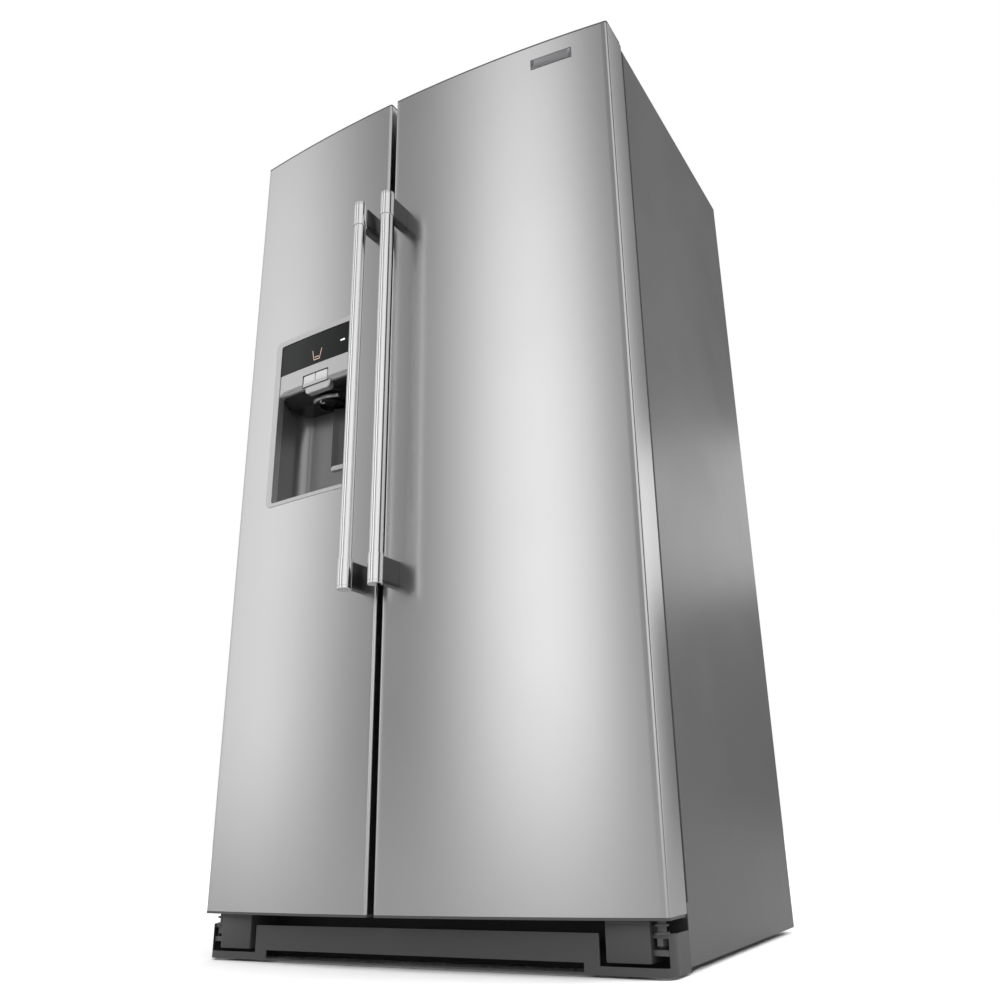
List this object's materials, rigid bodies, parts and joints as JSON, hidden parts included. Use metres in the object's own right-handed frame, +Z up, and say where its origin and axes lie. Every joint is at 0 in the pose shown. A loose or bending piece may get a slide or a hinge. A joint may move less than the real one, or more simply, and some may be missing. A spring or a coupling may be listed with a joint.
{
  "type": "side by side refrigerator",
  "caption": "Tall counter-depth refrigerator with two bowed steel doors, bar handles, a recessed ice and water dispenser, shelves, drawers and a rear machine compartment.",
  "frame": {"origin": "on the floor, at the centre of the footprint's bounding box, handles included", "axes": "+Z up, the doors face -Y, the freezer door with the dispenser is at -X and the fridge door at +X"},
  "size_m": [0.911, 0.7982, 1.768],
  "materials": {
    "stainless": "satin",
    "handle_steel": "polished",
    "case_paint": "satin",
    "zinc_plate": "satin",
    "hinge_paint": "satin",
    "black_paint": "satin",
    "grille_plastic": "matte",
    "cap_plastic": "matte",
    "liner_white": "gloss",
    "seal_rubber": "matte",
    "foam_core": "matte",
    "clear_plastic": "gloss",
    "shelf_trim": "gloss",
    "shelf_glass": "polished",
    "shelf_wire": "gloss",
    "silver_plastic": "satin",
    "black_glass": "polished",
    "well_plastic": "satin",
    "key_plastic": "satin",
    "paddle_plastic": "satin",
    "fin_metal": "satin",
    "fan_plastic": "matte",
    "roller_plastic": "matte",
    "leg_steel": "satin",
    "rear_board": "matte",
    "lamp_plastic": "satin",
    "white_plastic": "matte"
  },
  "bodies": {
    "cabinet": {"cabinet_shell": "case_paint", "cabinet_back": "zinc_plate", "cabinet_foam": "foam_core", "freezer_liner": "liner_white", "fridge_liner": "liner_white", "base_frame": "zinc_plate", "base_grille": "grille_plastic", "bottom_hinges": "hinge_paint", "top_hinges": "hinge_paint", "hinge_covers": "cap_plastic", "compressor": "black_paint", "condenser_coil": "black_paint", "condenser_fan_frame": "zinc_plate", "drain_pan": "white_plastic", "water_valve": "white_plastic", "rear_cover": "rear_board", "power_inlet": "fan_plastic", "freezer_shelves": "shelf_wire", "shelf_frames": "shelf_trim", "shelf_panes": "shelf_glass", "ice_maker": "white_plastic", "evaporator_cover": "liner_white", "evaporator_coil": "fin_metal", "lamp_covers": "lamp_plastic"},
    "freezer_door": {"freezer_door_skin": "stainless", "freezer_door_foam": "foam_core", "freezer_door_liner": "liner_white", "freezer_door_gasket": "seal_rubber", "freezer_door_caps": "cap_plastic", "freezer_door_bins": "clear_plastic", "freezer_handle": "handle_steel", "freezer_handle_mounts": "handle_steel", "dispenser_bezel": "silver_plastic", "control_glass": "black_glass", "dispenser_hood": "silver_plastic", "dispenser_well": "well_plastic"},
    "fridge_door": {"fridge_door_skin": "stainless", "fridge_door_foam": "foam_core", "fridge_door_liner": "liner_white", "fridge_door_gasket": "seal_rubber", "fridge_door_caps": "cap_plastic", "fridge_door_bins": "clear_plastic", "fridge_handle": "handle_steel", "fridge_handle_mounts": "handle_steel"},
    "key_left": {"dispenser_key_left": "key_plastic"},
    "key_right": {"dispenser_key_right": "key_plastic"},
    "paddle": {"dispenser_paddle": "paddle_plastic"},
    "dairy_flap": {"dairy_lid": "clear_plastic"},
    "evaporator_fan": {"evaporator_fan": "fan_plastic"},
    "condenser_fan": {"condenser_fan": "fan_plastic"},
    "ice_bin": {"ice_bin": "clear_plastic"},
    "ice_auger": {"ice_auger": "fin_metal"},
    "freezer_basket_lower": {"freezer_basket_lower": "clear_plastic"},
    "freezer_basket_upper": {"freezer_basket_upper": "clear_plastic"},
    "crisper_lower": {"crisper_lower": "clear_plastic"},
    "crisper_upper": {"crisper_upper": "clear_plastic"},
    "roller_left": {"rear_roller_left": "roller_plastic"},
    "roller_right": {"rear_roller_right": "roller_plastic"},
    "leg_left": {"front_leg_left": "leg_steel"},
    "leg_right": {"front_leg_right": "leg_steel"}
  },
  "joints": [
    {"name": "freezer_door_hinge", "type": "hinge", "parent": "cabinet", "child": "freezer_door", "pos_m": [-0.432, -0.27087, 0.078], "axis": [0, 0, -1], "range_deg": [0, 125]},
    {"name": "fridge_door_hinge", "type": "hinge", "parent": "cabinet", "child": "fridge_door", "pos_m": [0.432, -0.27087, 0.078], "axis": [0, 0, 1], "range_deg": [0, 125]},
    {"name": "key_left_press", "type": "slide", "parent": "freezer_door", "child": "key_left", "axis": [0, 1, 0], "range_m": [0, 0.0015], "stiffness_N_per_m": 600},
    {"name": "key_right_press", "type": "slide", "parent": "freezer_door", "child": "key_right", "axis": [0, 1, 0], "range_m": [0, 0.0015], "stiffness_N_per_m": 600},
    {"name": "paddle_tilt", "type": "hinge", "parent": "freezer_door", "child": "paddle", "pos_m": [-0.22, -0.24288, 1.075], "axis": [1, 0, 0], "range_deg": [0, 5], "stiffness_Nm_per_rad": 0.8},
    {"name": "dairy_flap_lift", "type": "hinge", "parent": "fridge_door", "child": "dairy_flap", "pos_m": [0.18975, -0.17288, 1.61], "axis": [1, 0, 0], "range_deg": [0, 75]},
    {"name": "evaporator_fan_spin", "type": "hinge", "parent": "cabinet", "child": "evaporator_fan", "pos_m": [-0.24425, 0.27113, 1.24], "axis": [0, 1, 0], "continuous": true},
    {"name": "condenser_fan_spin", "type": "hinge", "parent": "cabinet", "child": "condenser_fan", "pos_m": [0.06, 0.29413, 0.16], "axis": [1, 0, 0], "continuous": true},
    {"name": "ice_bin_slide", "type": "slide", "parent": "cabinet", "child": "ice_bin", "axis": [0, -1, 0], "range_m": [0, 0.045]},
    {"name": "ice_auger_spin", "type": "hinge", "parent": "ice_bin", "child": "ice_auger", "pos_m": [-0.24425, -0.10487, 1.407], "axis": [0, 1, 0], "continuous": true},
    {"name": "freezer_basket_lower_slide", "type": "slide", "parent": "cabinet", "child": "freezer_basket_lower", "axis": [0, -1, 0], "range_m": [0, 0.018]},
    {"name": "freezer_basket_upper_slide", "type": "slide", "parent": "cabinet", "child": "freezer_basket_upper", "axis": [0, -1, 0], "range_m": [0, 0.045]},
    {"name": "crisper_lower_slide", "type": "slide", "parent": "cabinet", "child": "crisper_lower", "axis": [0, -1, 0], "range_m": [0, 0.018]},
    {"name": "crisper_upper_slide", "type": "slide", "parent": "cabinet", "child": "crisper_upper", "axis": [0, -1, 0], "range_m": [0, 0.045]},
    {"name": "roller_left_spin", "type": "hinge", "parent": "cabinet", "child": "roller_left", "pos_m": [-0.4, 0.33913, 0.022], "axis": [1, 0, 0], "continuous": true},
    {"name": "roller_right_spin", "type": "hinge", "parent": "cabinet", "child": "roller_right", "pos_m": [0.4, 0.33913, 0.022], "axis": [1, 0, 0], "continuous": true},
    {"name": "leg_left_turn", "type": "hinge", "parent": "cabinet", "child": "leg_left", "pos_m": [-0.4, -0.18288, 0], "axis": [0, 0, 1], "continuous": true},
    {"name": "leg_right_turn", "type": "hinge", "parent": "cabinet", "child": "leg_right", "pos_m": [0.4, -0.18288, 0], "axis": [0, 0, 1], "continuous": true}
  ]
}
